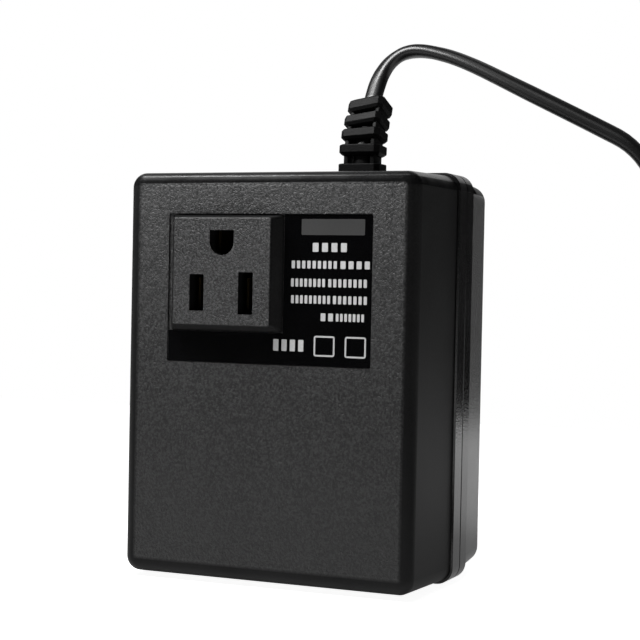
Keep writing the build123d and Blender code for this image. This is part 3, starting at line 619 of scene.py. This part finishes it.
def makePlug():
    p = plug
    body = []
    for x, size in p["blockRows"]:
        inset = (1 - size) * p["halfThick"]
        loop = hexLoop(p["halfWide"] - inset, p["flat"] - inset, p["halfThick"] - inset)
        body.append(np.column_stack([
            np.full(len(loop), p["back"] + x), p["y"] + loop[:, 0], p["z"] + loop[:, 1]]))
    shells = [skin(np.stack(body) * mm)]
    # Neck: half sizes grow with a power of the distance, less the root of a cosine wave for the grooves
    share = np.linspace(0, 1, p["neckRows"])
    wave = np.clip(np.cos(share * 2 * np.pi * p["grooves"]), 0, 1) ** 0.5 * (share < p["grooveUpTo"])
    halfWide, halfTall = [
        start + (end - start) * share ** p["swell"] - wave * deep
        for start, end, deep in zip(p["neckStart"], p["neckEnd"], p["grooveDeep"])]
    loops = np.stack([roundedLoop(w, t, min(w, t) * p["neckCorner"]) for w, t in zip(halfWide, halfTall)])
    x = np.broadcast_to((p["neckFrom"] + p["neckLong"] * share)[:, None], loops.shape[:2])
    neck = np.stack([x, p["y"] + loops[..., 0], p["z"] + loops[..., 1]], -1)
    shells.append(skin(neck * mm))
    # Finger ribs across the flats: a rounded rectangle that shrinks towards its top
    loop = roundedLoop(p["gripHalf"], p["gripLong"], p["gripCorner"], 4)
    for x in p["gripRows"]:
        for side in (-1, 1):
            rows = []
            for above, size in p["gripHeights"]:
                length = 1 - p["gripTaper"] * (1 - size)
                z = p["z"] + side * (p["halfThick"] + above)
                rows.append(np.column_stack([
                    x + loop[:, 0] * size, p["y"] + loop[:, 1] * length, np.full(len(loop), z)]))
            shells.append(skin(np.stack(rows) * mm))
    return makePiece("plugBody", shells, "plug_plastic", "plug_body")


def turnedAlongX(profile, y, z, sides=32):
    # Profile of (x, radius) turned about a line along X: y and z are the radius times (cosine, sine)
    angle = np.linspace(0, 2 * np.pi, sides, endpoint=False)
    rows = [
        np.column_stack([np.full(sides, x), y + r * np.cos(angle), z + r * np.sin(angle)]) for x, r in profile]
    return skin(np.stack(rows) * mm)


pins = {
    "root": 196.25, "sleeve": 10.0, "reach": 19.0, "spread": 9.3, "radius": 2.0,
    "neck": 1.86, "neckLong": 0.15, "nose": 1.2, "noseRound": 0.45,
    "sleeveRadius": 1.75, "sleeveEnd": 1.60, "sleeveSunk": 0.3, "sleeveGap": 0.02,
}


def makePins():
    # The nose is a quarter of an ellipse at each pin's tip
    root, r = pins["root"], pins["radius"]
    bare, tip = root + pins["sleeve"], root + pins["reach"]
    angle = np.linspace(0, np.pi / 2, 8)
    noseX = tip - pins["nose"] * (1 - np.sin(angle))
    noseRadius = r * (1 - pins["noseRound"] * (1 - np.cos(angle)))
    metalRows = [(bare, pins["neck"]), (bare + pins["neckLong"], r), *zip(noseX, noseRadius)]
    sleeveRows = [
        (root - pins["sleeveSunk"], pins["sleeveRadius"]), (bare - pins["sleeveSunk"], pins["sleeveRadius"]),
        (bare - pins["sleeveGap"], pins["sleeveEnd"])]
    places = [plug["y"] - pins["spread"], plug["y"] + pins["spread"]]
    made = []
    for name, rows, slot, node in (
            ("plugPins", metalRows, "pin_brass", "plug_pins"),
            ("pinSleeves", sleeveRows, "sleeve_plastic", "pin_sleeves")):
        made.append(makePiece(name, [turnedAlongX(rows, y, plug["z"]) for y in places], slot, node))
    return made


plugBody = makePlug()
plugPins, pinSleeves = makePins()
print("plug made")

# Twist tie round the loops at the coil's front
tie = {
    "x": 130.2, "y": -42.725, "z": 6.35, "halfDeep": 6.0, "halfTall": 6.0, "corner": 2.6,
    "halfWide": 1.9, "thick": 0.35, "edge": 0.16,
    "endRows": 24, "endFrom": 2.0, "endLong": 9.0, "endTurns": 1.1, "endWide": 0.55, "endTall": 0.35,
    "endLift": 0.45, "endSection": (0.62, 0.2, 0.15),
}


def makeTie():
    # Flat strip carried round a rounded square, and its two ends twisted together on top
    loop = roundedLoop(tie["halfDeep"], tie["halfTall"], tie["corner"], 8)
    across = unit(np.roll(loop, -1, 0) - np.roll(loop, 1, 0))
    outside = np.column_stack([across[:, 1], -across[:, 0]])
    section = roundedLoop(tie["halfWide"], tie["thick"] / 2, tie["edge"], 3)
    grid = np.stack([np.column_stack([
        tie["x"] + section[:, 0],
        tie["y"] + p[0] + section[:, 1] * n[0],
        tie["z"] + p[1] + section[:, 1] * n[1]]) for p, n in zip(loop, outside)])
    shells = [hoop(grid * mm)]
    # Each end winds round the other, (cosine, sine) of its spin off the middle, and lies along the loop
    count = tie["endRows"]
    share = np.linspace(0, 1, count)
    spin = share * 2 * np.pi * tie["endTurns"]
    flat = roundedLoop(*tie["endSection"], 2)
    u = np.stack([np.zeros(count), np.cos(spin), np.sin(spin)], -1)
    v = np.stack([np.zeros(count), -np.sin(spin), np.cos(spin)], -1)
    top = tie["z"] + tie["halfTall"] + tie["endLift"]
    for half in (0, np.pi):
        middle = np.stack([
            tie["x"] + tie["endFrom"] + tie["endLong"] * share,
            tie["y"] + tie["endWide"] * np.cos(spin + half), top + tie["endTall"] * np.sin(spin + half)], -1)
        end = middle[:, None] + flat[None, :, :1] * u[:, None] + flat[None, :, 1:] * v[:, None]
        shells.append(skin(end * mm))
    return makePiece("coilTie", shells, "tie_plastic", "coil_tie")


coilTie = makeTie()


def softCopy(node, name, slot, width):
    # A CAD node's own outline, merged to flat faces, with its edges softened
    piece = bpy.data.objects.new(name, nodes[node].data.copy())
    scene.collection.objects.link(piece)
    work = bmesh.new()
    work.from_mesh(piece.data)
    bmesh.ops.remove_doubles(work, verts=work.verts, dist=mergeWithin)
    bmesh.ops.dissolve_limit(work, angle_limit=np.radians(1.0), verts=work.verts, edges=work.edges)
    work.to_mesh(piece.data)
    work.free()
    softenEdges(piece, width)
    return finishPiece(piece, slot, node)


outletEdge = 0.25
softCopy("outlet_face", "outletPlate", "outlet_plastic", outletEdge * mm)
print("outlet plate made")

# Label print: rows of plain blocks, a plain patch and outlines where the label has its print.
# Rows are (left, right, low, high, blocks), the others (left, right, low, high), in mm.
labelPrint = {
    "y": -28.1, "thick": 0.06, "sunk": 0.02, "inked": 0.62, "line": 0.42,
    "corner": 0.2, "frameCorner": 0.6, "innerCorner": 0.15,
    "patch": (9.6, 27.1, 92.2, 96.3),
    "rows": [
        (12.8, 22.25, 87.9, 90.2, 4),
        (7.0, 19.6, 83.6, 85.6, 9), (20.6, 28.6, 83.6, 85.6, 4),
        (6.9, 16.4, 78.9, 81.0, 8), (17.3, 27.9, 78.9, 81.0, 8),
        (7.0, 17.9, 74.6, 76.7, 9), (18.7, 28.0, 74.6, 76.7, 7),
        (15.4, 18.8, 70.2, 72.2, 2), (19.6, 27.3, 70.2, 72.2, 7),
        (2.2, 10.7, 62.2, 65.2, 4),
    ],
    "frames": [(13.6, 19.4, 61.1, 66.4), (22.2, 28.0, 61.0, 66.4)],
}
inkBack, inkFront = labelPrint["y"] + labelPrint["sunk"], labelPrint["y"] - labelPrint["thick"]


def upright(loop, box, y):
    # A loop's u and v as x and z about a box's middle, at one depth
    left, right, low, high = box
    x, z = (left + right) / 2 + loop[:, 0], (low + high) / 2 + loop[:, 1]
    return np.column_stack([x, np.full(len(loop), y), z])


def flatBlock(*box):
    # Rounded rectangle carried from inside the label to just above it
    left, right, low, high = box
    loop = roundedLoop((right - left) / 2, (high - low) / 2, labelPrint["corner"], 4)
    return skin(np.stack([upright(loop, box, y) for y in (inkBack, inkFront)]) * mm)


def flatFrame(*box):
    # Outline of a rounded square: its outer and inner loops, at both depths, joined round
    left, right, low, high = box
    outer, inner = [
        roundedLoop((right - left) / 2 - cut, (high - low) / 2 - cut,
                    max(labelPrint["frameCorner"] - cut, labelPrint["innerCorner"]), 4)
        for cut in (0, labelPrint["line"])]
    rows = [(outer, inkBack), (outer, inkFront), (inner, inkFront), (inner, inkBack)]
    return hoop(np.stack([upright(loop, box, y) for loop, y in rows]) * mm)


def printLabel():
    shells = []
    for left, right, low, high, count in labelPrint["rows"]:
        step = (right - left) / (count - 1 + labelPrint["inked"])
        starts = left + step * np.arange(count)
        shells += [flatBlock(x, x + step * labelPrint["inked"], low, high) for x in starts]
    shells += [flatFrame(*box) for box in labelPrint["frames"]]
    makePiece("labelPrint", shells, "label_film", finish="label_ink", smooth=False)
    patch = flatBlock(*labelPrint["patch"])
    makePiece("labelPatch", [patch], "label_film", finish="label_patch", smooth=False)


printLabel()
print("label printed")

# Studio: pale floor, two soft lights and a plain bright backdrop. The sky patches are (range of X,
# tones over it, range of Y where the patch comes in), and all ranges are of the looking direction.
studio = {
    "floor": (-2.0, 2.0, -0.45, 0.50), "floorTone": (0.86, 0.86, 0.86), "floorSeen": 0.94,
    "glowRange": (0.10, 0.45), "floorGlow": (0.30, 1.0),
    "skyRange": (0.15, 0.9), "skyTones": (0.015, 0.05), "backdrop": 1.0,
    "behind": ((0.05, 0.20), (0.6, 0.0), (0.5, 0.8)),
    "aside": ((0.38, 0.60), (0.0, 0.10), (0.2, 0.6)),
    "aim": (0, 0, 0.06),
    "lights": [
        {"name": "key", "place": (-0.10, -0.10, 0.27), "size": 0.10, "watts": 0.80},
        {"name": "top", "place": (0.0, -0.30, 0.95), "size": 0.5, "watts": 1.0},
    ],
}


def layFloor():
    # The floor glows more with distance, and the camera sees it evenly bright
    x0, x1, y0, y1 = studio["floor"]
    finish, shader = startFinish("paleFloor", studio["floorTone"], 0.8, Emission_Color=(1, 1, 1, 1))
    away = addNode(finish, "ShaderNodeVectorMath", {0: objectPlace(finish)}, operation="LENGTH")
    glow = ramp(finish, away.outputs["Value"], *studio["glowRange"], *studio["floorGlow"])
    seen = addNode(finish, "ShaderNodeLightPath").outputs["Is Camera Ray"]
    strength = calc(finish, "MAXIMUM", glow, calc(finish, "MULTIPLY", seen, studio["floorSeen"]))
    finish.node_tree.links.new(strength, shader.inputs["Emission Strength"])
    corners = [(x0, y0, 0), (x1, y0, 0), (x1, y1, 0), (x0, y1, 0)]
    addMesh("floor", corners, [(0, 1, 2, 3)], finish)


def hangLights():
    for light in studio["lights"]:
        lamp = bpy.data.lights.new(light["name"], "AREA")
        lamp.shape = "DISK"
        lamp.size = light["size"]
        lamp.energy = light["watts"]
        ahead = unit(np.subtract(studio["aim"], light["place"]))
        right = unit(np.cross(ahead, [0, 0, 1.0]))
        standAt(bpy.data.objects.new(light["name"], lamp), light["place"], right, np.cross(right, ahead), ahead)


def paintSky():
    # White to the camera. For the object: dark in front, white straight behind, soft to the right and above
    world = bpy.data.worlds.new("studio")
    world.use_nodes = True
    scene.world = world
    direction = addNode(world, "ShaderNodeTexCoord").outputs["Generated"]
    x, y, z = addNode(world, "ShaderNodeSeparateXYZ", {"Vector": direction}).outputs
    behind, aside = [
        calc(world, "MULTIPLY", ramp(world, x, *xRange, *tones), ramp(world, y, *yRange, 0.0, 1.0))
        for xRange, tones, yRange in (studio["behind"], studio["aside"])]
    sky = ramp(world, z, *studio["skyRange"], *studio["skyTones"])
    around = calc(world, "ADD", sky, calc(world, "ADD", behind, aside))
    seen = addNode(world, "ShaderNodeLightPath").outputs["Is Camera Ray"]
    background = world.node_tree.nodes["Background"]
    background.inputs["Color"].default_value = (1, 1, 1, 1)
    strength = ramp(world, seen, 0.0, 1.0, around, studio["backdrop"])
    world.node_tree.links.new(strength, background.inputs["Strength"])


layFloor()
hangLights()
paintSky()
scene.view_settings.view_transform = "Standard"
print("studio lit")
